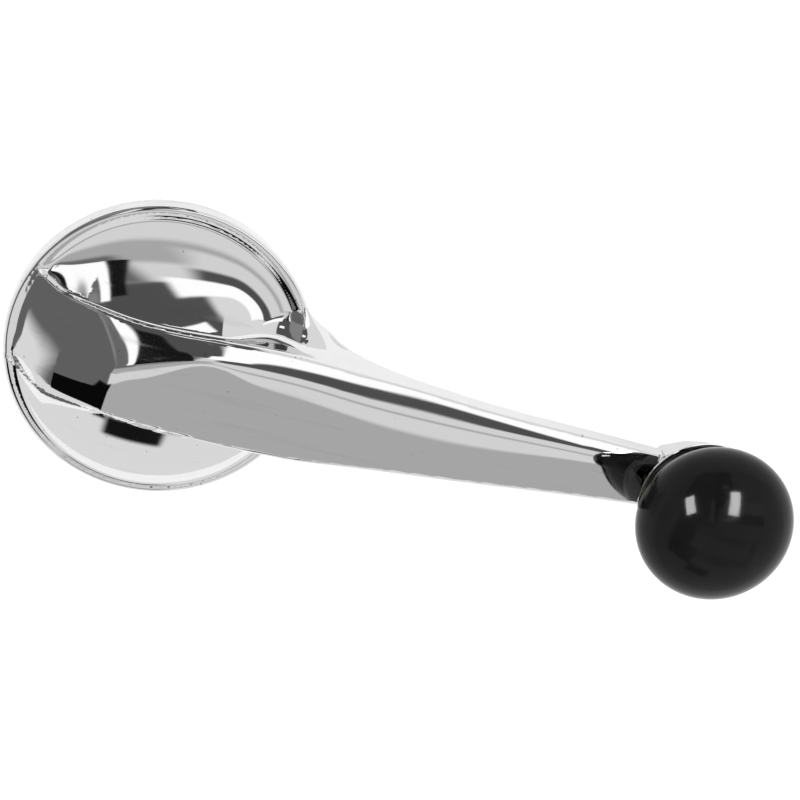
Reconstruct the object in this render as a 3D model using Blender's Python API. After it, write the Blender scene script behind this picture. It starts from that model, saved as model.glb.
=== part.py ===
"""Chrome crank handle with a spinning black knob, modelled piece by piece.

Frame: +Z is the axis that the handle turns about, pointing away from the panel, +X runs along
the arm to the knob, and the origin is the centre of the face that bears on the panel.
Lengths below are in millimetres and are scaled to metres as each mesh is made.
"""

import math

import bmesh
import bpy

MM = 0.001

# Hub
HUB_RADIUS = 28.5
RIM_BACK = 0.8
SKIRT_TOP = 2.9
BEAD_RADIUS = 0.9
DOME_RADIUS = 26.5
DOME_FOOT = 3.2
DOME_CROWN = 12.8
DOME_POWER = 1.8
DISH_RADIUS = 26.9
DISH_START = 0.3
DISH_EDGE = 2.2
DISH_POWER = 2.4

# Back of the hub
RECESS_RADIUS = 20.4
RECESS_TOP = 1.9
POCKET_RADIUS = 19.4
POCKET_SIDE = 6.2
POCKET_RIM_TOP = 6.0
POCKET_BOSS_TOP = 9.0
BOSS_RADIUS = 8.6
SOCKET_SEAT_RADIUS = 6.1
SOCKET_SEAT_TOP = 10.6

# Drive socket, its pin and the clip that holds the handle on its spindle
SPLINES = 24
SPLINE_TIP_RADIUS = 4.76
SPLINE_ROOT_RADIUS = 5.15
SOCKET_RADIUS = 6.0
SOCKET_LOW = 2.0
SOCKET_HIGH = 10.3
PIN_RADIUS = 1.0
PIN_BORE_RADIUS = 0.5
PIN_HEIGHT = 7.6
CLIP_INNER = 3.9
CLIP_OUTER = 5.2
CLIP_LOW = 3.7
CLIP_HIGH = 4.7
CLIP_TIP_X = 3.6
CLIP_BOW_X = -7.6
SLOT_CLEARANCE = 0.2
SLOT_REACH = 10.0

# Friction washer behind the hub
WASHER_INNER = 9.4
WASHER_OUTER = 20.1
WASHER_TOP = 1.6

# Arm: at each station along X, the crest and edge offsets, the heights of the ridge, crest,
# edge and underside, and how far the foot of the crest side flares out.
ARM_STATIONS = (
    # x, crest, edge, ridge_z, crest_z, edge_z, under_z, foot
    (-25.0, 9.8, 7.0, 4.6, 4.0, 4.0, 1.2, 9.8),
    (-20.0, 8.6, 9.0, 8.6, 7.2, 7.6, 1.2, 9.6),
    (-13.0, 8.0, 10.0, 12.2, 10.4, 11.2, 1.2, 10.0),
    (-4.0, 7.9, 10.2, 14.8, 12.4, 13.8, 1.2, 12.0),
    (6.0, 8.2, 10.6, 15.3, 12.9, 14.2, 1.2, 14.0),
    (18.0, 9.0, 11.2, 15.2, 12.8, 14.0, 1.2, 15.8),
    (25.0, 9.0, 11.2, 15.0, 12.7, 13.9, 1.4, 13.4),
    (31.0, 8.8, 10.9, 14.9, 12.5, 13.7, 4.4, 11.2),
    (37.0, 8.5, 10.2, 14.7, 12.3, 13.5, 7.0, 9.9),
    (45.0, 8.2, 9.4, 14.4, 12.1, 13.3, 8.3, 9.0),
    (60.0, 7.6, 8.4, 13.6, 11.4, 12.6, 8.4, 8.0),
    (80.0, 6.6, 7.0, 12.4, 10.5, 11.5, 7.7, 6.8),
    (97.0, 6.0, 5.9, 11.3, 9.8, 10.5, 6.9, 6.1),
)
EDGE_ROUND = 0.9
RIDGE_OFFSET = -1.0

# Knob end of the arm
ARM_LENGTH = 106.7
PAD_RADIUS = 8.5
PAD_TOP = 11.8
PAD_BACK = 6.9
PAD_EAR_X = 102.8
PAD_EAR_Y = 8.8
STUD_HOLE_RADIUS = 2.65
CHANNEL_START = 46.0
CHANNEL_END = 90.0
CHANNEL_DEPTH = 2.2
CHANNEL_SHARE = 0.5

# Knob and what it turns on, bottom to top
TAIL_RADIUS = 2.5
PEEN_RADIUS = 3.6
PEEN_LOW = 5.1
PEEN_HIGH = 5.9
RIVET_WASHER_RADIUS = 5.0
RIVET_WASHER_LOW = 6.0
RIVET_WASHER_HIGH = 6.8
COLLAR_LOW = 11.9
COLLAR_HIGH = 12.7
COLLAR_RIM_RADIUS = 12.5
COLLAR_RIM_Z = 15.4
WAVE_WASHER_INNER = 3.3
WAVE_WASHER_OUTER = 6.2
WAVE_WASHER_LOW = 12.95
WAVE_WASHER_HIGH = 13.2
WAVE_HEIGHT = 0.08
SHOULDER_RADIUS = 3.0
SHOULDER_LOW = 12.8
BUSH_BORE_RADIUS = 3.1
BUSH_FLANGE_RADIUS = 6.6
BUSH_FLANGE_LOW = 13.4
BUSH_FLANGE_HIGH = 14.0
BUSH_RADIUS = 5.45
BUSH_TOP = 23.8
THRUST_WASHER_RADIUS = 5.2
THRUST_WASHER_LOW = 23.95
THRUST_WASHER_HIGH = 24.45
HEAD_RADIUS = 5.0
HEAD_LOW = 24.6
HEAD_HIGH = 26.4
KNOB_RADIUS = 15.05
KNOB_HALF_HEIGHT = 11.5
KNOB_CENTRE_Z = 24.3
KNOB_BASE_Z = 14.15
KNOB_BORE_RADIUS = 5.6
KNOB_BORE_TOP = 27.6

ROUND_STEPS = 48
HUB_STEPS = 80
SLICE = 2.0


def clear_scene():
    for obj in list(bpy.data.objects):
        bpy.data.objects.remove(obj, do_unlink=True)


def material(name, colour, metallic, roughness):
    mat = bpy.data.materials.new(name)
    mat.use_nodes = True
    shader = mat.node_tree.nodes["Principled BSDF"]
    shader.inputs["Base Color"].default_value = (*colour, 1.0)
    shader.inputs["Metallic"].default_value = metallic
    shader.inputs["Roughness"].default_value = roughness
    return mat


def finish_object(name, bm, mat=None, origin=(0.0, 0.0, 0.0)):
    """Turn millimetre geometry into a metre-sized object whose origin is at the given point."""
    bmesh.ops.remove_doubles(bm, verts=bm.verts, dist=1e-4)
    bmesh.ops.dissolve_degenerate(bm, dist=1e-4, edges=bm.edges)
    bmesh.ops.recalc_face_normals(bm, faces=bm.faces)
    bmesh.ops.translate(bm, vec=[-c for c in origin], verts=bm.verts)
    bmesh.ops.scale(bm, vec=(MM, MM, MM), verts=bm.verts)
    mesh = bpy.data.meshes.new(name)
    bm.to_mesh(mesh)
    bm.free()
    mesh.shade_smooth()
    mesh.set_sharp_from_angle(angle=math.radians(30))
    if mat:
        mesh.materials.append(mat)
    obj = bpy.data.objects.new(name, mesh)
    obj.location = [c * MM for c in origin]
    bpy.context.scene.collection.objects.link(obj)
    return obj


def revolve(profile, steps=ROUND_STEPS, centre=(0.0, 0.0)):
    """Spin an (r, z) outline about the vertical through centre; an open outline ends on the axis."""
    bm = bmesh.new()
    verts = [bm.verts.new((r, 0.0, z)) for r, z in profile]
    edges = [bm.edges.new(pair) for pair in zip(verts, verts[1:])]
    if profile[0][0] > 0.0 or profile[-1][0] > 0.0:
        edges.append(bm.edges.new((verts[-1], verts[0])))
    bmesh.ops.spin(
        bm, geom=verts + edges, cent=(0, 0, 0), axis=(0, 0, 1),
        dvec=(0, 0, 0), angle=math.tau, steps=steps, use_merge=True,
    )
    bmesh.ops.translate(bm, vec=(*centre, 0.0), verts=bm.verts)
    return bm


def ring_profile(inner, outer, low, high):
    return [(inner, low), (outer, low), (outer, high), (inner, high)]


def disc_profile(radius, low, high):
    return [(0.0, low), (radius, low), (radius, high), (0.0, high)]


def prism(outline, low, high):
    """Extrude a closed (x, y) outline from low to high."""
    bm = bmesh.new()
    face = bm.faces.new([bm.verts.new((x, y, low)) for x, y in outline])
    lifted = bmesh.ops.extrude_face_region(bm, geom=[face])["geom"]
    tops = [item for item in lifted if isinstance(item, bmesh.types.BMVert)]
    bmesh.ops.translate(bm, vec=(0, 0, high - low), verts=tops)
    return bm


def loft(sections):
    """Skin closed loops that all have the same number of points, and cap both ends."""
    bm = bmesh.new()
    loops = [[bm.verts.new(point) for point in section] for section in sections]
    count = len(loops[0])
    for first, second in zip(loops, loops[1:]):
        for i in range(count):
            j = (i + 1) % count
            bm.faces.new((first[i], first[j], second[j], second[i]))
    bm.faces.new(loops[0])
    bm.faces.new(loops[-1])
    return bm


def combine(target, tool, operation):
    """Leave a live Boolean on the target and hide the tool."""
    modifier = target.modifiers.new(tool.name, "BOOLEAN")
    modifier.operation = operation
    modifier.object = tool
    modifier.solver = "EXACT"
    tool.hide_render = True
    tool.display_type = "WIRE"


def cut(target, tool):
    combine(target, tool, "DIFFERENCE")


def join(target, tool):
    combine(target, tool, "UNION")


def arc(centre, radius, start, end, count):
    """Points on an arc, angles in degrees."""
    return [
        (
            centre[0] + radius * math.cos(math.radians(start + (end - start) * i / count)),
            centre[1] + radius * math.sin(math.radians(start + (end - start) * i / count)),
        )
        for i in range(count + 1)
    ]


def station_at(x):
    """Arm dimensions at x, read from a smooth curve through the stations."""
    rows = ARM_STATIONS
    x = min(max(x, rows[0][0]), rows[-1][0])
    i = max(k for k in range(len(rows) - 1) if rows[k][0] <= x)
    before, here, there, after = (rows[min(max(k, 0), len(rows) - 1)] for k in (i - 1, i, i + 1, i + 2))
    span = there[0] - here[0]
    t = (x - here[0]) / span
    values = []
    for k in range(1, len(here)):
        slope_here = (there[k] - before[k]) / (there[0] - before[0])
        slope_there = (after[k] - here[k]) / (after[0] - here[0])
        values.append(
            (2 * t**3 - 3 * t**2 + 1) * here[k]
            + (t**3 - 2 * t**2 + t) * span * slope_here
            + (3 * t**2 - 2 * t**3) * there[k]
            + (t**3 - t**2) * span * slope_there
        )
    return values


def arm_section(x):
    """The arm's outline across X: crest side, shoulder, face, rounded edge and underside."""
    crest, edge, ridge_z, crest_z, edge_z, under_z, foot = station_at(x)
    points = []
    side_steps, shoulder_steps, face_steps, round_steps = 5, 7, 6, 3
    for i in range(side_steps):
        rise = i / side_steps
        y = crest + (foot - crest) * (1 - rise) ** 2.5
        points.append((x, y, under_z + (crest_z - under_z) * rise))
    ridge_y = RIDGE_OFFSET
    for i in range(shoulder_steps):
        along = 1 - i / shoulder_steps
        y = ridge_y + (crest - ridge_y) * along
        points.append((x, y, ridge_z - (ridge_z - crest_z) * along**2))
    flat_edge = edge - EDGE_ROUND
    for i in range(face_steps + 1):
        along = i / face_steps
        y = ridge_y - (flat_edge + ridge_y) * along
        points.append((x, y, ridge_z - (ridge_z - edge_z) * along**1.6))
    for i in range(1, round_steps + 1):
        turn = math.radians(90 * i / round_steps)
        y = -flat_edge - EDGE_ROUND * math.sin(turn)
        points.append((x, y, edge_z - EDGE_ROUND * (1 - math.cos(turn))))
    points.append((x, -(edge - 0.6), under_z))
    return points


def hub_profile():
    """Outline of the hub from its crown, over the dome and the rim bead, to the back."""
    steps = 11
    points = []
    for i in range(steps + 1):
        r = DOME_RADIUS * math.sin(math.radians(90 * i / steps))
        rise = (1 - (r / DOME_RADIUS) ** DOME_POWER) ** (1 / DOME_POWER)
        points.append((r, DOME_FOOT + (DOME_CROWN - DOME_FOOT) * rise))
    bead_centre = (HUB_RADIUS - 0.2 - BEAD_RADIUS, SKIRT_TOP)
    points += arc(bead_centre, BEAD_RADIUS, 155, 0, 6)
    points.append((HUB_RADIUS, RIM_BACK))
    points.append((0.0, RIM_BACK))
    return points


def dish_section(x):
    """The scoop's outline across X: it falls from the crest to the floor inside the rim bead."""
    crest, _, _, crest_z, _, _, _ = station_at(x)
    start, end = crest - DISH_START, DISH_RADIUS + 2
    steps = 9
    points = []
    for i in range(steps + 1):
        along = i / steps
        fall = (1 - along) ** DISH_POWER
        points.append((x, start + (end - start) * along, DISH_EDGE + (crest_z - DISH_EDGE) * fall))
    points.append((x, end, 30.0))
    points.append((x, start, 30.0))
    return points


def pad_outline():
    """Plan of the arm's end: flared ears, then a round end about the knob axis."""
    ear = [(96.0, -5.9), (PAD_EAR_X, -PAD_EAR_Y)]
    return ear + arc((ARM_LENGTH, 0.0), PAD_RADIUS, -98, 98, 20) + [(x, -y) for x, y in reversed(ear)]


def channel_section(x):
    """Outline across X of the shallow groove that lightens the arm from behind."""
    _, edge, _, _, _, under_z, _ = station_at(x)
    half = edge * CHANNEL_SHARE
    top = under_z + CHANNEL_DEPTH
    return [(x, -half, 0.0), (x, half, 0.0), (x, half, under_z), (x, half - 1, top), (x, 1 - half, top), (x, -half, under_z)]


def slices(low, high):
    """Evenly spaced places along X, from low to high."""
    count = math.ceil((high - low) / SLICE)
    return [low + SLICE * i for i in range(count)] + [high]


def box(x0, x1, y0, y1, z0, z1):
    return prism([(x0, y0), (x1, y0), (x1, y1), (x0, y1)], z0, z1)


def clip_slots(target):
    """Cut the two slots that the clip's legs slide in."""
    low, high = CLIP_LOW - SLOT_CLEARANCE, CLIP_HIGH + SLOT_CLEARANCE
    near, far = CLIP_INNER - SLOT_CLEARANCE, CLIP_OUTER + SLOT_CLEARANCE
    for side in (-1, 1):
        y0, y1 = sorted((side * near, side * far))
        cut(target, finish_object("tool_slot", box(-SLOT_REACH, SLOT_REACH, y0, y1, low, high)))


def pin_hole(target):
    """Cut the cross hole for the spring pin, on the side away from the dish."""
    hole = revolve(disc_profile(PIN_RADIUS + 0.06, 4.9, 9.4), 24)
    turn_to_minus_y(hole)
    cut(target, finish_object("tool_pin_hole", hole))


def turn_to_minus_y(bm):
    """Lay a piece made about Z down along -Y, at the height of the spring pin."""
    for vert in bm.verts:
        x, y, z = vert.co
        vert.co = (x, -z, y + PIN_HEIGHT)


def hub_back(body):
    """Washer recess, lightening pocket round the boss, socket seat, clip slots and pin hole."""
    cut(body, finish_object("tool_recess", revolve(disc_profile(RECESS_RADIUS, -1.0, RECESS_TOP), HUB_STEPS)))
    pocket = finish_object("tool_pocket", revolve([
        (BOSS_RADIUS, 0.0),
        (POCKET_RADIUS, 0.0),
        (POCKET_RADIUS, POCKET_RIM_TOP),
        (BOSS_RADIUS, POCKET_BOSS_TOP),
    ]))
    combine(pocket, finish_object("tool_pocket_side", box(-30, 30, -30, POCKET_SIDE, -1, 12)), "INTERSECT")
    cut(body, pocket)
    cut(body, finish_object("tool_seat", revolve(disc_profile(SOCKET_SEAT_RADIUS, -1.0, SOCKET_SEAT_TOP))))
    clip_slots(body)
    pin_hole(body)


def crank_casting(chrome):
    body = finish_object("crank_casting", revolve(hub_profile(), HUB_STEPS), chrome)
    first = ARM_STATIONS[0][0]
    join(body, finish_object("tool_arm", loft([arm_section(x) for x in slices(first, ARM_LENGTH - 2)])))
    join(body, finish_object("tool_pad", prism(pad_outline(), PAD_BACK, PAD_TOP)))

    reach = 2 * SLICE
    scoop = finish_object("tool_scoop", loft([dish_section(x) for x in slices(first - reach, reach - first)]))
    scoop_limit = finish_object("tool_scoop_limit", revolve(disc_profile(DISH_RADIUS, 0.0, 40.0), HUB_STEPS))
    combine(scoop, scoop_limit, "INTERSECT")
    cut(body, scoop)

    hub_back(body)
    channel = [channel_section(x) for x in slices(CHANNEL_START, CHANNEL_END)]
    cut(body, finish_object("tool_channel", loft(channel)))
    stud_hole = revolve(disc_profile(STUD_HOLE_RADIUS, 0.0, 20.0), centre=(ARM_LENGTH, 0.0))
    cut(body, finish_object("tool_stud_hole", stud_hole))
    return body


def spline_outline():
    """Closed outline of the splined bore: flat tips and roots in turn."""
    points = []
    pitch = math.tau / SPLINES
    for i in range(SPLINES):
        for part, radius in ((0.05, SPLINE_TIP_RADIUS), (0.45, SPLINE_TIP_RADIUS), (0.55, SPLINE_ROOT_RADIUS), (0.95, SPLINE_ROOT_RADIUS)):
            angle = (i + part) * pitch
            points.append((radius * math.cos(angle), radius * math.sin(angle)))
    return points


def drive_socket(steel):
    profile = disc_profile(SOCKET_RADIUS, SOCKET_LOW, SOCKET_HIGH)
    socket = finish_object("drive_socket", revolve(profile), steel)
    cut(socket, finish_object("tool_splines", prism(spline_outline(), 0.0, 12.0)))
    clip_slots(socket)
    pin_hole(socket)


def socket_pin(steel):
    pin = revolve(ring_profile(PIN_BORE_RADIUS, PIN_RADIUS, 5.3, 8.4), 24)
    turn_to_minus_y(pin)
    finish_object("socket_pin", pin, steel)


def retaining_clip(steel):
    """Horseshoe clip: two straight legs and a round bow."""
    bow = (CLIP_BOW_X, 0.0)
    outer = arc(bow, CLIP_OUTER, 90, 270, 20)
    inner = arc(bow, CLIP_INNER, 270, 90, 20)
    outline = [(CLIP_TIP_X, CLIP_OUTER)] + outer
    outline += [(CLIP_TIP_X, -CLIP_OUTER), (CLIP_TIP_X, -CLIP_INNER)] + inner + [(CLIP_TIP_X, CLIP_INNER)]
    finish_object("retaining_clip", prism(outline, CLIP_LOW, CLIP_HIGH), steel)


def friction_washer(nylon):
    finish_object("friction_washer", revolve(ring_profile(WASHER_INNER, WASHER_OUTER, 0.0, WASHER_TOP), 64), nylon)


def at_knob(name, profile, mat, steps=ROUND_STEPS):
    """A round piece on the knob axis, with its origin on that axis."""
    centre = (ARM_LENGTH, 0.0)
    return finish_object(name, revolve(profile, steps, centre), mat, (*centre, 0.0))


def knob_stud(steel):
    at_knob("knob_stud", [
        (0.0, HEAD_HIGH),
        (HEAD_RADIUS - 0.6, HEAD_HIGH),
        (HEAD_RADIUS, HEAD_HIGH - 0.5),
        (HEAD_RADIUS, HEAD_LOW),
        (SHOULDER_RADIUS, HEAD_LOW),
        (SHOULDER_RADIUS, SHOULDER_LOW),
        (TAIL_RADIUS, SHOULDER_LOW),
        (TAIL_RADIUS, PEEN_HIGH),
        (PEEN_RADIUS, PEEN_HIGH),
        (PEEN_RADIUS - 0.5, PEEN_LOW + 0.25),
        (PEEN_RADIUS - 1.6, PEEN_LOW),
        (0.0, PEEN_LOW),
    ], steel)


def knob_collar(chrome):
    """Cup washer: a flat seat that sweeps up to a thin rim."""
    wall = COLLAR_HIGH - COLLAR_LOW
    at_knob("knob_collar", [
        (STUD_HOLE_RADIUS, COLLAR_LOW),
        (8.2, COLLAR_LOW),
        (10.4, COLLAR_LOW + 0.7),
        (11.8, COLLAR_LOW + 1.8),
        (COLLAR_RIM_RADIUS, COLLAR_RIM_Z - 0.3),
        (COLLAR_RIM_RADIUS - 0.25, COLLAR_RIM_Z),
        (COLLAR_RIM_RADIUS - 0.7, COLLAR_RIM_Z - 0.1),
        (11.1, COLLAR_LOW + 2.3),
        (9.9, COLLAR_LOW + 1.4),
        (8.0, COLLAR_LOW + wall),
        (STUD_HOLE_RADIUS, COLLAR_HIGH),
    ], chrome, 64)


def wave_washer(steel):
    profile = ring_profile(WAVE_WASHER_INNER, WAVE_WASHER_OUTER, WAVE_WASHER_LOW, WAVE_WASHER_HIGH)
    bm = revolve(profile)
    for vert in bm.verts:
        vert.co.z += WAVE_HEIGHT * math.sin(3 * math.atan2(vert.co.y, vert.co.x))
    bmesh.ops.translate(bm, vec=(ARM_LENGTH, 0, 0), verts=bm.verts)
    finish_object("wave_washer", bm, steel, (ARM_LENGTH, 0.0, 0.0))


def knob_bush(brass):
    at_knob("knob_bush", [
        (BUSH_BORE_RADIUS, BUSH_FLANGE_LOW),
        (BUSH_FLANGE_RADIUS, BUSH_FLANGE_LOW),
        (BUSH_FLANGE_RADIUS, BUSH_FLANGE_HIGH),
        (BUSH_RADIUS, BUSH_FLANGE_HIGH),
        (BUSH_RADIUS, BUSH_TOP),
        (BUSH_BORE_RADIUS, BUSH_TOP),
    ], brass)


def knob_ball(plastic):
    """Oblate ball with a flat base and a blind bore from below."""
    steps = 20
    base_angle = math.degrees(math.asin((KNOB_BASE_Z - KNOB_CENTRE_Z) / KNOB_HALF_HEIGHT))
    profile = []
    for i in range(steps + 1):
        angle = math.radians(90 + (base_angle - 90) * i / steps)
        profile.append((KNOB_RADIUS * math.cos(angle), KNOB_CENTRE_Z + KNOB_HALF_HEIGHT * math.sin(angle)))
    profile[0] = (0.0, KNOB_CENTRE_Z + KNOB_HALF_HEIGHT)
    profile += [(KNOB_BORE_RADIUS, KNOB_BASE_Z), (KNOB_BORE_RADIUS, KNOB_BORE_TOP), (0.0, KNOB_BORE_TOP)]
    at_knob("knob_ball", profile, plastic, 56)


def build():
    clear_scene()
    chrome = material("chrome_plate", (0.78, 0.79, 0.8), 1.0, 0.04)
    steel = material("plated_steel", (0.6, 0.6, 0.6), 1.0, 0.3)
    brass = material("brass", (0.72, 0.52, 0.22), 1.0, 0.3)
    nylon = material("white_nylon", (0.8, 0.79, 0.74), 0.0, 0.5)
    plastic = material("black_plastic", (0.008, 0.008, 0.009), 0.0, 0.1)

    crank_casting(chrome)
    drive_socket(steel)
    socket_pin(steel)
    retaining_clip(steel)
    friction_washer(nylon)
    knob_stud(steel)
    at_knob("rivet_washer", ring_profile(
        STUD_HOLE_RADIUS, RIVET_WASHER_RADIUS, RIVET_WASHER_LOW, RIVET_WASHER_HIGH
    ), steel)
    knob_collar(chrome)
    wave_washer(steel)
    knob_bush(brass)
    at_knob("thrust_washer", ring_profile(
        BUSH_BORE_RADIUS, THRUST_WASHER_RADIUS, THRUST_WASHER_LOW, THRUST_WASHER_HIGH
    ), nylon)
    knob_ball(plastic)


build()
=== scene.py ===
"""Studio picture of the chrome crank handle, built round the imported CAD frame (metres, +Z up)."""

import bmesh
import bpy
import math
import numpy as np
from mathutils import Euler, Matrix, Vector
from types import SimpleNamespace


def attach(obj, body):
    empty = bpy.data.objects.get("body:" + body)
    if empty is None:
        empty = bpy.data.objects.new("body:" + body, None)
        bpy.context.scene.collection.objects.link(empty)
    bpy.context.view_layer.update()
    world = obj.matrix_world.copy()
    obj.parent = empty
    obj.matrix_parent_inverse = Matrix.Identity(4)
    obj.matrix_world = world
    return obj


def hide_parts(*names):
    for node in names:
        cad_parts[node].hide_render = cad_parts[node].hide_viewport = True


MM = 0.001
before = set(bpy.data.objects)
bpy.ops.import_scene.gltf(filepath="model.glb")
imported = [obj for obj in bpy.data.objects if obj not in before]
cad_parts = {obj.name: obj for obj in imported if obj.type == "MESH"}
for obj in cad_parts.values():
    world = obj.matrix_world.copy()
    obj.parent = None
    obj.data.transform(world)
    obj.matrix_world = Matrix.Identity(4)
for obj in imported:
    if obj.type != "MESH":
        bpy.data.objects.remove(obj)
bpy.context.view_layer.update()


# ---------------------------------------------------------------- smooth curves and blends

def spline(xs, ys):
    """Natural cubic spline through the points, straight beyond both ends."""
    xs, ys = np.array(xs, float), np.array(ys, float)
    n = len(xs)
    gap = np.diff(xs)
    matrix = np.zeros((n, n))
    right = np.zeros(n)
    matrix[0, 0] = matrix[-1, -1] = 1.0
    for i in range(1, n - 1):
        matrix[i, i - 1], matrix[i, i], matrix[i, i + 1] = gap[i - 1], 2 * (gap[i - 1] + gap[i]), gap[i]
        right[i] = 6 * ((ys[i + 1] - ys[i]) / gap[i] - (ys[i] - ys[i - 1]) / gap[i - 1])
    curve = np.linalg.solve(matrix, right)
    slope_low = (ys[1] - ys[0]) / gap[0] - curve[1] * gap[0] / 6
    slope_high = (ys[-1] - ys[-2]) / gap[-1] + curve[-2] * gap[-1] / 6

    def value(x):
        x = np.asarray(x, float)
        inside = np.clip(x, xs[0], xs[-1])
        i = np.clip(np.searchsorted(xs, inside, side="right") - 1, 0, n - 2)
        ahead, behind, wide = xs[i + 1] - inside, inside - xs[i], gap[i]
        y = (curve[i] * ahead**3 + curve[i + 1] * behind**3) / (6 * wide)
        y = y + (ys[i] / wide - curve[i] * wide / 6) * ahead
        y = y + (ys[i + 1] / wide - curve[i + 1] * wide / 6) * behind
        return y + slope_low * np.minimum(x - xs[0], 0) + slope_high * np.maximum(x - xs[-1], 0)

    return value


def blend_in(value, start, end):
    """0 up to start and 1 from end on, straight between them. End may be the smaller."""
    return np.clip((value - start) / (end - start), 0, 1)


def soft_min(a, b, k):
    """The smaller of two fields, eased where they are within k of each other."""
    h = np.maximum(k - np.abs(a - b), 0) / k
    return np.minimum(a, b) - h * h * k / 4


def soft_max(a, b, k):
    """The larger of two fields, eased in the same way."""
    return -soft_min(-a, -b, k)


def round_and(a, b, r):
    """Intersection of two solids with a convex edge of radius r."""
    return np.minimum(np.maximum(a, b), -r) + np.hypot(np.maximum(a + r, 0), np.maximum(b + r, 0))


def round_or(a, b, r):
    """Union of two solids with a concave fillet of radius r."""
    return np.maximum(np.minimum(a, b), r) - np.hypot(np.maximum(r - a, 0), np.maximum(r - b, 0))


# ---------------------------------------------------------------- the casting, in millimetres
# X runs from the hub's centre along the arm, Z up from the panel. The far side of the arm is +Y.

KNOB_X = 106.7

# Lines along the arm: the crest, the near edge, where the flat face meets the shoulder, the underside
STATION = (-25.0, -20.0, -14.0, -8.0, -2.0, 9.5, 20.5, 28.0, 35.5, 48.0, 63.0, 80.0, 97.0)
CREST_Y = spline(STATION, (10.7, 8.25, 7.45, 7.05, 7.05, 7.95, 8.6, 8.55, 8.2, 7.7, 6.8, 6.3, 5.75))
CREST_Z = spline(STATION, (4.8, 6.3, 8.2, 9.6, 10.6, 11.4, 11.6, 11.6, 11.5, 11.3, 11.0, 10.3, 9.6))
EDGE_Y = spline(STATION, (8.0, 10.3, 10.9, 11.0, 11.45, 12.3, 12.5, 12.3, 11.5, 10.2, 8.9, 7.4, 6.1))
FACET_Y = spline(
    (-25, -14, -8, -2, 4.5, 9, 15.7, 25, 37, 49, 65, 77, 97),
    (-6.0, -4.0, -2.3, -0.1, 3.2, 4.3, 3.6, 3.0, 1.9, 1.2, 1.6, 2.4, 3.0),
)
FACET_Z = spline((-8, 9, 20, 37, 49, 65, 77, 97), (13.45, 13.5, 13.6, 13.5, 13.2, 12.6, 12.0, 10.9))
UNDER_Z = spline(
    (-25, 22, 26, 31, 37, 45, 60, 80, 97, 108),
    (1.2, 1.2, 2.2, 4.6, 6.6, 7.6, 7.9, 7.4, 6.9, 6.9),
)
FOOT = spline((-25, 10, 18, 25, 31, 37, 45, 60, 97), (0.0, 0.0, 3.0, 4.6, 2.9, 1.6, 0.8, 0.4, 0.3))
FOOT_CURVE = 2.2

FACET_TILT = 0.125
FACET_BLEND = 0.8
NOSE_X = -8.2
NOSE_SLOPE = 0.42
NOSE_TILT = 0.1
NOSE_RADIUS = 90.0
NOSE_BLEND = 0.6
NOSE_BLEND_AT_CREST = 3.0
CREST_SLOPE = 0.56
CREST_ROUND = 0.6
TOP_BLEND = 1.6
LIFT_PER_HEIGHT = 1.6
LIFT_LEAST = 0.1
LIFT_BLEND = 0.3
SHOULDER_LEAST = 0.02
EDGE_ROUND = 0.5
EDGE_ROUND_ARM = 0.5
EDGE_ROUND_NOSE = 2.0
UNDERCUT_HUB = 0.2
UNDERCUT_ARM = 0.1
UNDER_ROUND = 0.6
ARM_END = 104.0
ARM_ON_HUB_RADIUS = 27.2
ARM_ON_HUB_ROUND = 0.5

PAD_RADIUS = 8.5
PAD_TOP = 11.8
PAD_BACK = 6.9
PAD_TOP_ROUND = 0.4
PAD_BACK_ROUND = 0.5
PAD_BLEND = 0.8
EAR_HALF = 8.8
EAR_START = 98.0
EAR_NECK = 3.9

RIM_BACK = 0.8
BEAD_R = 27.5
BEAD_Z = 3.5
BEAD_RADIUS = 0.9
BEAD_BLEND = 1.6
PLATE_RADIUS = 27.6
PLATE_BLEND = 1.0
DOME_RADIUS = 27.1
DOME_FOOT = 3.8
DOME_CROWN = 13.0
DOME_POWER = 0.8
DOME_SLOPE = 0.55
DISH_RADIUS = 26.7
DISH_LEAST_WIDTH = 1.5
DISH_STEP = 0.9
DISH_FAR_DROP = 6.9
DISH_LIP = 3.9
DISH_ROUND = 0.5
HUB_BELOW_ARM = 0.6
HUB_UNDER_SLOPE = 3.0

# The dish's fall from the crest (0) to its lip (1), summed up from its slope
DISH_V = np.linspace(0, 1, 101)
DISH_SLOPE = spline(
    (0, 0.1, 0.2, 0.3, 0.4, 0.5, 0.62, 0.75, 0.87, 1.0),
    (0.82, 0.74, 0.66, 0.58, 0.46, 0.32, 0.18, 0.06, 0.0, -0.05),
)(DISH_V)
DISH_FALL = np.concatenate([[0.0], np.cumsum((DISH_SLOPE[1:] + DISH_SLOPE[:-1]) / 2)])
DISH_FALL /= DISH_FALL[-1]
DISH_PROFILE = spline(DISH_V[::5], DISH_FALL[::5])

FILLET = 0.6
FLARE_FILLET = 4.7
FADE_FILLET = 3.5

RECESS_RADIUS, RECESS_TOP = 20.4, 1.9
POCKET_INNER, POCKET_OUTER, POCKET_FAR_Y = 8.6, 19.4, 6.2
POCKET_TOP_INNER, POCKET_TOP_OUTER = 9.0, 6.0
SEAT_RADIUS, SEAT_TOP = 6.1, 10.6
SLOT_Y, SLOT_HALF_Y, SLOT_Z, SLOT_HALF_Z, SLOT_REACH = 4.55, 0.85, 4.2, 0.7, 10.0
PIN_Z, PIN_RADIUS, PIN_Y_LOW, PIN_Y_HIGH = 7.6, 1.06, -9.4, -4.9
CHANNEL_START, CHANNEL_END, CHANNEL_DEPTH, CHANNEL_ROUND = 46.0, 90.0, 2.2, 0.5
STUD_HOLE = 2.65


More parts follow.
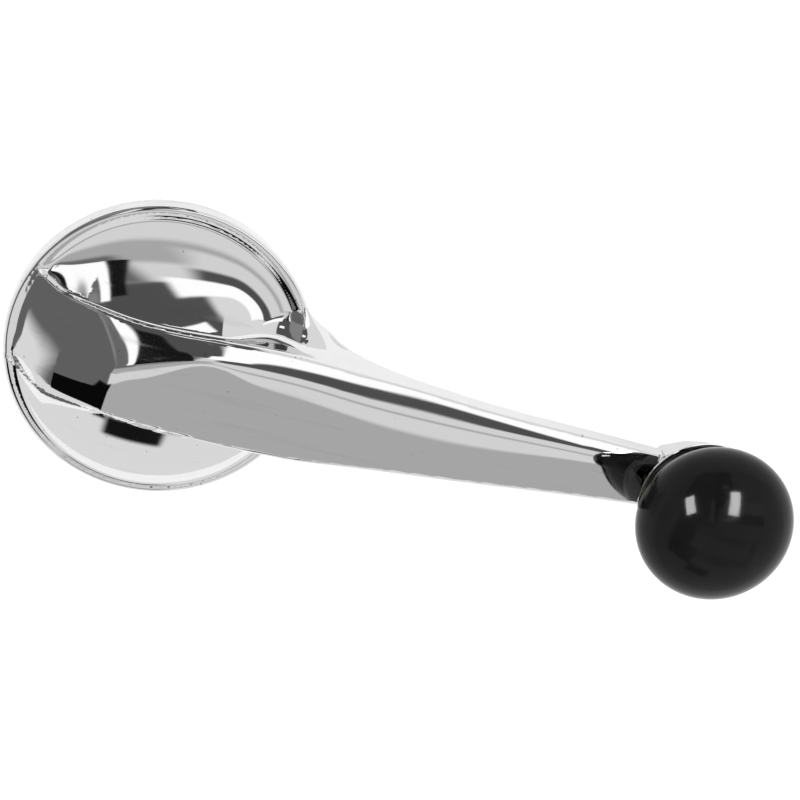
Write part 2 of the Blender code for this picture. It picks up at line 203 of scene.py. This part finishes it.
def arm_lines(x):
    """Where the arm's lines run at x, and the height of the nose over the hub's near end."""
    back_x = np.minimum(x - NOSE_X, 0.0)
    facet_z = FACET_Z(x)
    return SimpleNamespace(
        crest_y=CREST_Y(x), crest_z=CREST_Z(x), edge_y=EDGE_Y(x), under=UNDER_Z(x),
        facet_y=FACET_Y(x), facet_z=facet_z,
        nose_z=facet_z + NOSE_SLOPE * (x - NOSE_X) - back_x**2 / (2 * NOSE_RADIUS),
    )


def arm_top(y, line):
    """Height of the arm's upper side: a flat face, a shoulder from it down to the crest, and the nose."""
    facet = line.facet_z + FACET_TILT * (y - line.facet_y)
    nose = line.nose_z + NOSE_TILT * (y - line.facet_y)
    from_crest = line.crest_y - y
    span = line.crest_y - line.facet_y
    top_z = soft_min(line.facet_z, line.nose_z, TOP_BLEND)
    lift = LIFT_PER_HEIGHT * np.maximum(top_z - line.crest_z, 0) / span + LIFT_LEAST
    lift = soft_min(CREST_SLOPE, lift, LIFT_BLEND)
    bend = (top_z - line.crest_z - lift * span) / span**2
    near = np.minimum(from_crest, span)
    end_slope = np.maximum(lift + 2 * bend * span, SHOULDER_LEAST)
    shoulder = line.crest_z + lift * near + bend * near * np.abs(near) + end_slope * (from_crest - near)
    nose_blend = NOSE_BLEND + NOSE_BLEND_AT_CREST * np.clip(1 - from_crest / span, 0, 1)
    return soft_min(soft_min(shoulder, facet, FACET_BLEND), nose, nose_blend)


def arm_shape(x, y, z, top, line):
    """The arm between its upper side, its two flanks and its underside, ending inside the hub's rim."""
    rise = np.clip((z - line.under) / np.maximum(line.crest_z - line.under, 1.0), 0.0, 1.0)
    side = line.crest_y + FOOT(x) * (1 - rise) ** FOOT_CURVE
    arm = round_and((z - top) * 0.93, y - side, CREST_ROUND)
    edge_z = np.minimum(line.facet_z, line.nose_z) - FACET_TILT * (line.facet_y + line.edge_y)
    undercut = np.where(x > 20, UNDERCUT_ARM, UNDERCUT_HUB)
    edge_round = EDGE_ROUND + EDGE_ROUND_ARM * blend_in(x, 10, 25) + EDGE_ROUND_NOSE * blend_in(x, -6, -18)
    arm = round_and(arm, -line.edge_y - y + undercut * (edge_z - z), edge_round)
    arm = round_and(arm, line.under - z, UNDER_ROUND)
    arm = np.maximum(arm, x - ARM_END)
    on_hub = np.where(x < 5, np.hypot(x, y) - ARM_ON_HUB_RADIUS, -9.0)
    return round_and(arm, on_hub, ARM_ON_HUB_ROUND)


def pad_shape(x, y, z):
    """Round pad under the knob, with an ear that widens it toward the arm."""
    px, py = x - KNOB_X, np.abs(y)
    neck = px + EAR_NECK
    ear = np.maximum(px - 0.5, (py - EAR_HALF) * 0.98 - 0.18 * neck)
    ear = np.maximum(ear, EAR_START - x)
    ear = np.maximum(ear, py * 0.92 - 0.42 * neck - EAR_HALF * 0.92)
    pad = np.minimum(np.hypot(px, y) - PAD_RADIUS, ear)
    return round_and(round_and(pad, z - PAD_TOP, PAD_TOP_ROUND), PAD_BACK - z, PAD_BACK_ROUND)


def dish_height(x, y, top, line):
    """Floor of the scooped dish beyond the crest, and the hub's hidden surface under the arm."""
    lip_y = np.sqrt(np.maximum(DISH_RADIUS**2 - x * x, 1.0))
    width = np.maximum(lip_y - line.crest_y, DISH_LEAST_WIDTH)
    v = np.clip((y - line.crest_y) / width, 0.0, 1.1)
    far_end = blend_in(x, 9, 23)
    step = DISH_STEP * np.maximum(blend_in(x, -27, -15), 0.2)
    start = np.maximum(line.crest_z - step - DISH_FAR_DROP * far_end**2 * (3 - 2 * far_end), DISH_LIP)
    dish = start + (DISH_LIP - start) * DISH_PROFILE(v)
    from_crest = line.crest_y - y
    under_arm = np.minimum(start + HUB_UNDER_SLOPE * from_crest, top - HUB_BELOW_ARM)
    under_arm = under_arm + HUB_UNDER_SLOPE * np.maximum(-line.edge_y - y, 0)
    return np.where(from_crest > 0, under_arm, dish)


def hub_shape(x, y, z, top, line):
    """A dome, scooped out beyond the crest, inside a beaded rim."""
    r = np.hypot(x, y)
    u = np.clip(r / DOME_RADIUS, 0, 0.9999)
    dome = DOME_FOOT + (DOME_CROWN - DOME_FOOT) * (1 - u * u) ** DOME_POWER
    slope = DOME_SLOPE * u * (1 - u * u) ** (DOME_POWER - 1)
    dome_field = (z - dome) / np.sqrt(1 + np.minimum(slope, 2.0) ** 2)
    dish_field = (z - dish_height(x, y, top, line)) * 0.85
    scooped = round_and(dome_field, dish_field, DISH_ROUND)
    plate = np.maximum(soft_max(scooped, r - PLATE_RADIUS, PLATE_BLEND), RIM_BACK - z)
    bead = np.hypot(r - BEAD_R, np.maximum(z - BEAD_Z, 0)) - BEAD_RADIUS
    return soft_min(plate, np.maximum(bead, RIM_BACK - z), BEAD_BLEND)


def joint_fillet(x, y, z):
    """Fillet radius between hub and arm: wide where the arm flares out and at the nose's near end."""
    flare = blend_in(x, 8, 24) ** 2 * blend_in(y, 3, 8) * blend_in(z, 12.5, 9.5)
    fade = blend_in(x, -8, -18) * blend_in(y, -2, -6) * blend_in(np.hypot(x, y), 27, 23)
    return FILLET + (FLARE_FILLET * flare + FADE_FILLET * fade) * blend_in(z, 2, 4)


def back_cuts(x, y, z, line):
    """Washer recess, pocket round the boss, socket seat, clip slots, pin hole, channel and stud hole."""
    r = np.hypot(x, y)
    recess = np.maximum(r - RECESS_RADIUS, z - RECESS_TOP)
    pocket = np.maximum(np.maximum(POCKET_INNER - r, r - POCKET_OUTER), y - POCKET_FAR_Y)
    fall = (r - POCKET_INNER) * (POCKET_TOP_INNER - POCKET_TOP_OUTER) / (POCKET_OUTER - POCKET_INNER)
    pocket = np.maximum(pocket, z - (POCKET_TOP_INNER - fall))
    seat = np.maximum(r - SEAT_RADIUS, z - SEAT_TOP)
    slot = np.maximum(np.abs(np.abs(y) - SLOT_Y) - SLOT_HALF_Y, np.abs(z - SLOT_Z) - SLOT_HALF_Z)
    slot = np.maximum(slot, np.abs(x) - SLOT_REACH)
    pin = np.maximum(np.hypot(x, z - PIN_Z) - PIN_RADIUS, np.maximum(y - PIN_Y_HIGH, PIN_Y_LOW - y))
    channel_top = line.under + CHANNEL_DEPTH
    channel = np.maximum(np.abs(y) - line.edge_y * 0.5, z - channel_top)
    channel = np.maximum(channel, np.maximum(CHANNEL_START - x, x - CHANNEL_END))
    channel = round_and(channel, z - channel_top, CHANNEL_ROUND)
    stud_hole = np.hypot(x - KNOB_X, y) - STUD_HOLE
    cuts = recess
    for cut in (pocket, seat, slot, pin, channel, stud_hole):
        cuts = np.minimum(cuts, cut)
    return cuts


def casting_shape(x, y, z):
    """Signed field of the chrome casting, negative inside."""
    line = arm_lines(x)
    top = arm_top(y, line)
    arm = soft_min(arm_shape(x, y, z, top, line), pad_shape(x, y, z), PAD_BLEND)
    body = round_or(hub_shape(x, y, z, top, line), arm, joint_fillet(x, y, z))
    return np.maximum(body, -back_cuts(x, y, z, line))


def march(field, low, high, step):
    """Points and quads of the field's zero surface, by surface nets on a grid of that step."""
    counts = [int(math.ceil((b - a) / step)) + 1 for a, b in zip(low, high)]
    axes = [a + step * np.arange(n) for a, n in zip(low, counts)]
    values = np.empty(counts, np.float32)
    slab = 24
    for i in range(0, counts[0], slab):
        gx, gy, gz = np.meshgrid(axes[0][i:i + slab], axes[1], axes[2], indexing="ij")
        values[i:i + slab] = field(gx, gy, gz)
    inside = values < 0
    cell = [n - 1 for n in counts]
    total = np.zeros(cell, np.int16)
    corners = [(a, b, c) for a in (0, 1) for b in (0, 1) for c in (0, 1)]
    for a, b, c in corners:
        total += inside[a:a + cell[0], b:b + cell[1], c:c + cell[2]]
    mixed = (total > 0) & (total < 8)
    cells = np.argwhere(mixed)
    index = np.full(cell, -1, np.int64)
    index[tuple(cells.T)] = np.arange(len(cells))
    sums = np.zeros((len(cells), 3))
    hits = np.zeros(len(cells))
    for a, b, c in corners:
        for axis in range(3):
            if (a, b, c)[axis]:
                continue
            p = cells + (a, b, c)
            q = p.copy()
            q[:, axis] += 1
            vp, vq = values[tuple(p.T)], values[tuple(q.T)]
            crossing = (vp < 0) != (vq < 0)
            t = np.where(crossing, vp / np.where(crossing, vp - vq, 1.0), 0.0)
            point = p.astype(float)
            point[:, axis] += t
            sums += point * crossing[:, None]
            hits += crossing
    points = np.array(low) + step * sums / hits[:, None]
    quads = []
    for axis in range(3):
        b, c = [(1, 2), (2, 0), (0, 1)][axis]
        head = [slice(None)] * 3
        tail = [slice(None)] * 3
        head[axis], tail[axis] = slice(0, -1), slice(1, None)
        first, second = inside[tuple(head)], inside[tuple(tail)]
        edge = np.argwhere(first != second)
        keep = (edge[:, b] > 0) & (edge[:, c] > 0) & (edge[:, b] < cell[b]) & (edge[:, c] < cell[c])
        edge = edge[keep]
        around = []
        for db, dc in ((-1, -1), (0, -1), (0, 0), (-1, 0)):
            corner = edge.copy()
            corner[:, b] += db
            corner[:, c] += dc
            around.append(index[tuple(corner.T)])
        quad = np.stack(around, axis=1)
        out = first[tuple(edge.T)]
        quad[~out] = quad[~out][:, ::-1]
        quads.append(quad)
    return points, np.concatenate(quads)


def gradient(field, p, eps=0.02):
    """Slope of the field at each point, by central differences."""
    g = np.empty_like(p)
    for axis in range(3):
        q, s = p.copy(), p.copy()
        q[:, axis] += eps
        s[:, axis] -= eps
        g[:, axis] = (field(*q.T) - field(*s.T)) / (2 * eps)
    return g


def pull(field, p, rounds=4, most=0.12):
    """Move points along the field's gradient onto its zero surface."""
    for _ in range(rounds):
        g = gradient(field, p)
        value = field(*p.T)
        move = g * (value / np.maximum((g * g).sum(1), 0.2))[:, None]
        length = np.linalg.norm(move, axis=1)
        move *= np.minimum(1.0, most / np.maximum(length, 1e-9))[:, None]
        p = p - move
    return p


def mesh_object(name, points, quads, normals):
    """Smooth-shaded object from points in millimetres, with the normals given."""
    mesh = bpy.data.meshes.new(name)
    mesh.vertices.add(len(points))
    mesh.vertices.foreach_set("co", (points * MM).ravel())
    mesh.loops.add(quads.size)
    mesh.loops.foreach_set("vertex_index", quads.ravel())
    mesh.polygons.add(len(quads))
    mesh.polygons.foreach_set("loop_start", np.arange(0, quads.size, 4))
    mesh.update(calc_edges=True)
    mesh.validate()
    mesh.shade_smooth()
    mesh.normals_split_custom_set_from_vertices(normals)
    obj = bpy.data.objects.new(name, mesh)
    bpy.context.scene.collection.objects.link(obj)
    return obj


GRID = 0.4
GRID_LOW = (-30.0, -30.0, 0.0)
GRID_HIGH = (116.5, 30.0, 15.0)
points, quads = march(casting_shape, GRID_LOW, GRID_HIGH, GRID)
points = pull(casting_shape, points)
normals = gradient(casting_shape, points)
normals /= np.maximum(np.linalg.norm(normals, axis=1), 1e-9)[:, None]
casting = mesh_object("crank_casting_polished", points, quads, normals)


# ---------------------------------------------------------------- turned pieces, in millimetres

SHARP_ANGLE = math.radians(35)


def rounded(profile, radius, steps=4):
    """Profile with each listed corner (r, z, True) replaced by a small arc."""
    out = []
    n = len(profile)
    for i, corner in enumerate(profile):
        if len(corner) < 3 or i in (0, n - 1) and corner[0] == 0:
            out.append(corner[:2])
            continue
        p = np.array(corner[:2], float)
        a = np.array(profile[i - 1][:2], float) - p
        b = np.array(profile[(i + 1) % n][:2], float) - p
        la, lb = np.linalg.norm(a), np.linalg.norm(b)
        cut = min(radius, la * 0.45, lb * 0.45)
        a, b = p + a / la * cut, p + b / lb * cut
        for k in range(steps + 1):
            t = k / steps
            out.append(tuple((1 - t) ** 2 * a + 2 * t * (1 - t) * p + t**2 * b))
    return out


def lathe(name, profile, centre=0.0, steps=160):
    """Closed turned piece from an outline of (r, z) in millimetres, about the vertical at x = centre."""
    bm = bmesh.new()
    verts = [bm.verts.new((r * MM, 0, z * MM)) for r, z in profile]
    edges = [bm.edges.new(pair) for pair in zip(verts, verts[1:])]
    if profile[0][0] > 0 or profile[-1][0] > 0:
        edges.append(bm.edges.new((verts[-1], verts[0])))
    bmesh.ops.spin(
        bm, geom=verts + edges, cent=(0, 0, 0), axis=(0, 0, 1), dvec=(0, 0, 0),
        angle=math.tau, steps=steps, use_merge=True,
    )
    bmesh.ops.remove_doubles(bm, verts=bm.verts, dist=1e-7)
    bmesh.ops.recalc_face_normals(bm, faces=bm.faces)
    bmesh.ops.translate(bm, vec=(centre * MM, 0, 0), verts=bm.verts)
    mesh = bpy.data.meshes.new(name)
    bm.to_mesh(mesh)
    bm.free()
    mesh.shade_smooth()
    mesh.set_sharp_from_angle(angle=SHARP_ANGLE)
    obj = bpy.data.objects.new(name, mesh)
    bpy.context.scene.collection.objects.link(obj)
    return obj


def ring(inner, outer, low, high):
    """Outline of a flat washer, with all four corners marked for rounding."""
    return [(inner, low, 1), (outer, low, 1), (outer, high, 1), (inner, high, 1)]


def knob_outline():
    """Squashed ball with a flat base and a blind bore."""
    radius, half_height, centre, base = 15.05, 11.5, 24.3, 14.15
    bore, bore_end = 5.6, 27.6
    steps = 60
    low = math.asin((base + 0.25 - centre) / half_height)
    points = [(0.0, centre + half_height)]
    for i in range(1, steps + 1):
        t = math.pi / 2 + (low - math.pi / 2) * i / steps
        points.append((radius * math.cos(t), centre + half_height * math.sin(t)))
    edge = points[-1][0]
    points += [(edge - 0.25, base + 0.07), (edge - 0.55, base), (bore + 0.3, base), (bore, base + 0.3)]
    return points + [(bore, bore_end), (0.0, bore_end)]


def collar_outline():
    """Cup washer under the knob, with a thin rolled rim."""
    outer = [
        (2.65, 11.9), (8.2, 11.9), (9.1, 11.98), (10.0, 12.35),
        (10.9, 12.95), (11.6, 13.6), (12.1, 14.3), (12.42, 15.0),
    ]
    rim = [(12.5, 15.15), (12.46, 15.32), (12.3, 15.4), (12.1, 15.36), (11.95, 15.2)]
    inner = [
        (11.6, 14.6), (11.1, 13.95), (10.4, 13.4), (9.6, 12.95), (8.9, 12.74), (8.0, 12.7), (2.65, 12.7),
    ]
    return outer + rim + inner


knob = lathe("knob_ball_polished", knob_outline(), KNOB_X, 192)
collar = lathe("knob_collar_polished", collar_outline(), KNOB_X, 192)
stud = lathe("knob_stud_turned", rounded([
    (0.0, 26.4), (5.0, 26.4, 1), (5.0, 24.6, 1), (3.0, 24.6), (3.0, 12.8, 1), (2.5, 12.8), (2.5, 5.9),
    (3.6, 5.9, 1), (3.3, 5.4, 1), (2.0, 5.12, 1), (1.0, 5.15, 1), (0.0, 5.3),
], 0.35), KNOB_X, 96)
rivet_washer = lathe("rivet_washer_turned", rounded(ring(2.65, 5.0, 6.0, 6.8), 0.2), KNOB_X, 96)
bush = lathe("knob_bush_turned", rounded([
    (3.1, 13.4, 1), (6.6, 13.4, 1), (6.6, 14.0, 1), (5.45, 14.0), (5.45, 23.8, 1), (3.1, 23.8, 1),
], 0.2), KNOB_X, 96)
thrust = lathe("thrust_washer_moulded", rounded(ring(3.1, 5.2, 23.95, 24.45), 0.12), KNOB_X, 96)
washer = lathe("friction_washer_moulded", rounded(ring(9.4, 20.1, 0.0, 1.6), 0.3), 0.0, 160)

PIECES = (
    (casting, "crank_casting", "crank", "chrome_plate"),
    (knob, "knob_ball", "knob", "black_plastic"),
    (collar, "knob_collar", "crank", "chrome_plate"),
    (stud, "knob_stud", "crank", "plated_steel"),
    (rivet_washer, "rivet_washer", "crank", "plated_steel"),
    (bush, "knob_bush", "knob", "brass"),
    (thrust, "thrust_washer", "knob", "white_nylon"),
    (washer, "friction_washer", "washer", "white_nylon"),
)
for piece, node, body, slot_name in PIECES:
    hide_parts(node)
    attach(piece, body)

# The CAD nodes that stay, all plated steel, with their edges softened (widths in metres)
KEPT_NODES = {
    "drive_socket": 0.00015, "socket_pin": 0.00015, "retaining_clip": 0.00015, "wave_washer": 0.00008,
}
for name, width in KEPT_NODES.items():
    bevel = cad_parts[name].modifiers.new("soft_edges", "BEVEL")
    bevel.width = width
    bevel.segments = 2
    bevel.limit_method = "ANGLE"
    bevel.angle_limit = SHARP_ANGLE
    bevel.harden_normals = True


# ---------------------------------------------------------------- materials

def add_node(tree, kind, inputs=(), **settings):
    """New node with its settings made and each input linked to a socket or given a value."""
    node = tree.nodes.new(kind)
    for key, value in settings.items():
        setattr(node, key, value)
    for key, value in dict(inputs).items():
        if isinstance(value, bpy.types.NodeSocket):
            tree.links.new(value, node.inputs[key])
        else:
            node.inputs[key].default_value = value
    return node


class Nodes:
    """Short way to wire a procedural material: every call adds one node and returns its output."""

    def __init__(self, name):
        self.mat = bpy.data.materials.new(name)
        self.mat.use_nodes = True
        self.tree = self.mat.node_tree
        self.shader = self.tree.nodes["Principled BSDF"]
        self.place = self.add("ShaderNodeTexCoord").outputs["Object"]

    def add(self, kind, inputs=(), **settings):
        return add_node(self.tree, kind, inputs, **settings)

    def noise(self, scale, detail=4.0, stretch=None, rough=0.55):
        place = self.place
        if stretch:
            place = self.add("ShaderNodeMapping", {"Vector": place, "Scale": stretch}).outputs[0]
        return self.add("ShaderNodeTexNoise", {
            "Vector": place, "Scale": scale, "Detail": detail, "Roughness": rough,
        }).outputs[0]

    def ramp(self, value, low, high, a, b):
        """a where the value is low, b where it is high, straight between."""
        return self.add("ShaderNodeMapRange", {
            "Value": value, "From Min": low, "From Max": high, "To Min": a, "To Max": b,
        }).outputs[0]

    def both(self, operation, a, b):
        return self.add("ShaderNodeMath", {0: a, 1: b}, operation=operation).outputs[0]

    def mix(self, factor, a, b):
        """Colour a where the factor is 0, b where it is 1."""
        node = self.add("ShaderNodeMix", data_type="RGBA")
        node.inputs["Factor"].default_value = 0
        self.tree.links.new(factor, node.inputs["Factor"])
        node.inputs["A"].default_value = (*a, 1)
        node.inputs["B"].default_value = (*b, 1)
        return node.outputs["Result"]

    def bump(self, height, distance, strength=1.0):
        node = self.add("ShaderNodeBump", {"Height": height, "Distance": distance, "Strength": strength})
        self.tree.links.new(node.outputs[0], self.shader.inputs["Normal"])

    def link(self, socket, name):
        self.tree.links.new(socket, self.shader.inputs[name])

    def set(self, **values):
        for key, value in values.items():
            self.shader.inputs[key.replace("_", " ")].default_value = value


def chrome_nodes(name):
    """Bright plating with faint polishing swirls, hairline scratches and a few dust specks."""
    n = Nodes(name)
    n.set(Metallic=1.0)
    haze = n.noise(90.0, 5.0)
    scratch = n.noise(260.0, 2.0, (0.12, 1.6, 1.0), 0.7)
    hair = n.ramp(scratch, 0.60, 0.72, 0.0, 1.0)
    specks = n.ramp(n.noise(900.0, 1.0), 0.76, 0.80, 0.0, 1.0)
    tone = n.both("MAXIMUM", n.both("MULTIPLY", hair, 0.12), n.both("MULTIPLY", specks, 0.7))
    n.link(n.mix(tone, (0.66, 0.66, 0.66), (0.26, 0.26, 0.26)), "Base Color")
    rough = n.ramp(haze, 0.35, 0.75, 0.022, 0.06)
    rough = n.both("ADD", rough, n.both("MULTIPLY", n.both("MAXIMUM", hair, specks), 0.05))
    n.link(rough, "Roughness")
    wave = n.noise(38.0, 2.0)
    height = n.both("ADD", n.both("MULTIPLY", wave, 1.0), n.both("MULTIPLY", scratch, 0.03))
    n.bump(height, 0.00003, 0.5)
    return n


def chrome_material(name):
    return chrome_nodes(name).mat


def collar_painted_shade_material(name):
    """The same plating, with painted shade on the underside of the cup so that the arm below mirrors it
    dark.
    """
    n = chrome_nodes(name)
    up = n.add("ShaderNodeSeparateXYZ", {0: n.add("ShaderNodeTexCoord").outputs["Normal"]}).outputs[2]
    plated = n.shader.inputs["Base Color"].links[0].from_socket
    # Painted shade: the plating's colour drops to 0.05 of itself where the cup's surface faces down
    shade = n.ramp(up, -0.25, 0.0, 0.05, 1.0)
    plating_with_painted_shade = n.add("ShaderNodeVectorMath", {0: plated, "Scale": shade}, operation="SCALE")
    n.link(plating_with_painted_shade.outputs[0], "Base Color")
    return n.mat


def plastic_material(name):
    """Glossy black moulding with soft polishing haze and fine scuffs."""
    n = Nodes(name)
    haze = n.noise(140.0, 5.0)
    scuff = n.ramp(n.noise(420.0, 2.0, (0.25, 1.3, 1.0), 0.7), 0.62, 0.74, 0.0, 1.0)
    n.link(n.mix(haze, (0.004, 0.004, 0.004), (0.010, 0.010, 0.010)), "Base Color")
    n.link(n.both("ADD", n.ramp(haze, 0.3, 0.8, 0.08, 0.15), n.both("MULTIPLY", scuff, 0.08)), "Roughness")
    n.set(IOR=1.17, Specular_IOR_Level=0.5)
    n.bump(n.both("ADD", n.noise(60.0, 2.0), n.both("MULTIPLY", scuff, 0.05)), 0.00002, 0.5)
    return n.mat


def steel_material(name):
    """Dull zinc-plated steel with turning marks and blotches."""
    n = Nodes(name)
    n.set(Metallic=1.0)
    blotch = n.noise(220.0, 6.0)
    lines = n.noise(1500.0, 2.0, (0.3, 0.3, 2.5))
    n.link(n.mix(blotch, (0.62, 0.62, 0.60), (0.36, 0.36, 0.36)), "Base Color")
    n.link(n.both("ADD", n.ramp(blotch, 0.3, 0.7, 0.22, 0.4), n.both("MULTIPLY", lines, 0.08)), "Roughness")
    n.bump(n.both("ADD", lines, blotch), 0.00002, 0.6)
    return n.mat


def nylon_material(name):
    """Moulded nylon, off-white, with a fine satin texture and slight yellowing."""
    n = Nodes(name)
    patch = n.noise(70.0, 4.0)
    grain = n.noise(2600.0, 3.0)
    n.link(n.mix(patch, (0.80, 0.79, 0.74), (0.70, 0.68, 0.60)), "Base Color")
    n.link(n.ramp(patch, 0.3, 0.7, 0.42, 0.6), "Roughness")
    n.set(Subsurface_Weight=0.15)
    n.shader.inputs["Subsurface Radius"].default_value = (0.001, 0.0009, 0.0007)
    n.shader.inputs["Subsurface Scale"].default_value = 1.0
    n.bump(grain, 0.00002, 0.6)
    return n.mat


def brass_material(name):
    """Turned brass, a little tarnished."""
    n = Nodes(name)
    n.set(Metallic=1.0)
    tarnish = n.noise(180.0, 6.0)
    lines = n.noise(1800.0, 2.0, (0.3, 0.3, 3.0))
    n.link(n.mix(tarnish, (0.74, 0.54, 0.24), (0.42, 0.28, 0.11)), "Base Color")
    n.link(n.ramp(tarnish, 0.3, 0.7, 0.2, 0.42), "Roughness")
    n.bump(lines, 0.00002, 0.6)
    return n.mat


finishes = {
    "chrome_plate": chrome_material("chrome_plate_worn"),
    "black_plastic": plastic_material("black_plastic_polished"),
    "plated_steel": steel_material("plated_steel_dull"),
    "white_nylon": nylon_material("white_nylon_moulded"),
    "brass": brass_material("brass_turned"),
}
for piece, _, _, slot_name in PIECES:
    piece.data.materials.append(finishes[slot_name])
collar.data.materials[0] = collar_painted_shade_material("chrome_plate_collar_painted_shade")
for name in KEPT_NODES:
    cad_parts[name].material_slots[0].material = finishes["plated_steel"]


# ---------------------------------------------------------------- studio

scene = bpy.context.scene
scene.view_settings.view_transform = "Standard"
camera = bpy.data.objects.new("camera", bpy.data.cameras.new("camera"))
scene.collection.objects.link(camera)
camera.location = (-0.02963, 0.11187, 0.297769)
camera.rotation_euler = Euler((-0.4063, -0.1336, 0.3041))
camera.data.lens = 76.113
camera.data.sensor_width = 36
scene.camera = camera


def direction(azimuth, elevation):
    """Unit vector toward that azimuth and elevation, in degrees."""
    a, e = math.radians(azimuth), math.radians(elevation)
    return Vector((math.cos(e) * math.cos(a), math.cos(e) * math.sin(a), math.sin(e)))


# What the polished metal mirrors: rectangles on the sky dome, which room() flattens onto its floor.
# Each row is x0, x1, y0, y1, softness of the edges, lean and brightness. A row lies over those before it.
ROOM_BRIGHTNESS = 1.02
SCREENS = (
    (-0.50, 0.48, -0.37, 0.09, 0.02, 0, 0.57),
    (-0.20, 0.40, -0.262, -0.10, 0.02, 0, 0.96),
    (-0.12, 0.10, 0.07, 0.24, 0.03, 0, 0.95),
    (-0.60, 0.05, 0.24, 0.90, 0.015, 0, 0.11),
    (0.04, 0.50, -0.06, 0.09, 0.02, 0, 0.95),
    (0.04, 0.50, 0.09, 0.26, 0.02, 0, 0.11),
    (-0.60, -0.17, 0.24, 0.90, 0.03, 0, 0.32),
    (-0.012, 0.50, 0.20, 0.35, 0.012, 0, 1.5),
    (-0.475, -0.205, -0.46, 0.25, 0.02, 0, 0.17),
    (-0.21, -0.04, 0.0, 0.25, 0.02, 0, 0.20),
    (-0.43, -0.10, -0.50, -0.26, 0.012, 0, 0.004),
    (-0.097, -0.057, 0.05, 0.315, 0.006, 0.25, 1.5),
    (-0.053, -0.014, 0.05, 0.30, 0.005, 0.25, 0.012),
    (-0.085, 0.0, 0.50, 0.58, 0.006, 0, 1.5),
    (-0.10, 0.15, -0.60, -0.47, 0.02, 0, 0.01),
)


def room():
    """Evenly bright grey surround, with the plain bright and dark screens that the plating mirrors."""
    world = bpy.data.worlds.new("studio_room")
    scene.world = world
    world.use_nodes = True
    tree = world.node_tree
    back = tree.nodes["Background"]

    def math_node(operation, a, b=0.0):
        return add_node(tree, "ShaderNodeMath", {0: a, 1: b}, operation=operation).outputs[0]

    def step(value, low, high, a=0.0, b=1.0):
        """a below low, b above high, eased between."""
        return add_node(tree, "ShaderNodeMapRange", {
            "Value": value, "From Min": low, "From Max": high, "To Min": a, "To Max": b,
        }, interpolation_type="SMOOTHSTEP").outputs[0]

    def mix(factor, a, b):
        """a where factor is 0, b where it is 1."""
        rest = math_node("SUBTRACT", 1.0, factor)
        return math_node("ADD", math_node("MULTIPLY", rest, a), math_node("MULTIPLY", factor, b))

    way = add_node(tree, "ShaderNodeTexCoord").outputs["Generated"]
    x, y, z = add_node(tree, "ShaderNodeSeparateXYZ", {0: way}).outputs
    rise = math_node("MAXIMUM", math_node("ADD", z, 1.0), 0.02)
    across = math_node("DIVIDE", x, rise)
    along = math_node("DIVIDE", y, rise)

    def screen(x0, x1, y0, y1, soft, lean):
        """1 inside that leaning rectangle of the flattened dome, 0 outside."""
        sideways = math_node("ADD", across, math_node("MULTIPLY", along, lean))
        edges = [
            step(sideways, x0 - soft, x0 + soft), step(sideways, x1 - soft, x1 + soft, 1.0, 0.0),
            step(along, y0 - soft, y0 + soft), step(along, y1 - soft, y1 + soft, 1.0, 0.0),
        ]
        while len(edges) > 1:
            edges.append(math_node("MULTIPLY", edges.pop(0), edges.pop(0)))
        return edges[0]

    level = ROOM_BRIGHTNESS
    for x0, x1, y0, y1, soft, lean, glow in SCREENS:
        level = mix(screen(x0, x1, y0, y1, soft, lean), level, glow)
    colour = add_node(tree, "ShaderNodeCombineColor", {0: level, 1: level, 2: level}).outputs[0]
    tree.links.new(colour, back.inputs["Color"])


room()

# White paper, a little below the panel plane so that it never meets the part
FLOOR_HALF = 3.0
FLOOR_Z = -0.0002
FLOOR_CORNERS = [
    (side_x * FLOOR_HALF, side_y * FLOOR_HALF, FLOOR_Z)
    for side_x, side_y in ((-1, -1), (1, -1), (1, 1), (-1, 1))
]
floor_mesh = bpy.data.meshes.new("floor")
floor_mesh.from_pydata(FLOOR_CORNERS, [], [(0, 1, 2, 3)])
floor = bpy.data.objects.new("floor", floor_mesh)
scene.collection.objects.link(floor)
paper = Nodes("white_paper")
paper.link(paper.mix(paper.noise(30.0, 5.0), (0.93, 0.93, 0.93), (0.90, 0.90, 0.90)), "Base Color")
paper.set(Roughness=0.7)
paper.bump(paper.noise(900.0, 4.0), 0.00005, 0.3)
floor.data.materials.append(paper.mat)


def lamp(name, azimuth, elevation, distance, width, height, power, spin):
    """Rectangular lamp that faces the origin, turned by spin degrees about its own axis."""
    data = bpy.data.lights.new(name, "AREA")
    data.shape = "RECTANGLE"
    data.size, data.size_y = width, height
    data.energy = power
    obj = bpy.data.objects.new(name, data)
    way = direction(azimuth, elevation)
    obj.location = way * distance
    obj.rotation_euler = way.to_track_quat("Z", "Y").to_euler()
    obj.rotation_euler.rotate_axis("Z", math.radians(spin))
    scene.collection.objects.link(obj)
    return obj


# Two lamps that only the knob sees, for its two highlights
LAMP_DISTANCE = 0.7
LAMP_POWER = 12.0
knob_only = bpy.data.collections.new("lit_by_lamps")
knob_only.objects.link(knob)
for name, azimuth, elevation, width, height, spin in (
    ("lamp_left", 150.8, 46.6, 0.16, 0.34, 152),
    ("lamp_right", 59.2, 51.5, 0.14, 0.36, 30),
):
    light = lamp(name, azimuth, elevation, LAMP_DISTANCE, width, height, LAMP_POWER, spin)
    light.visible_diffuse = False
    light.light_linking.receiver_collection = knob_only

# Shadowless fill from above
sun = bpy.data.lights.new("ceiling_fill", "SUN")
sun.energy = 2.5
sun.angle = math.radians(100)
sun.use_shadow = False
ceiling = bpy.data.objects.new("ceiling_fill", sun)
ceiling.visible_glossy = False
scene.collection.objects.link(ceiling)
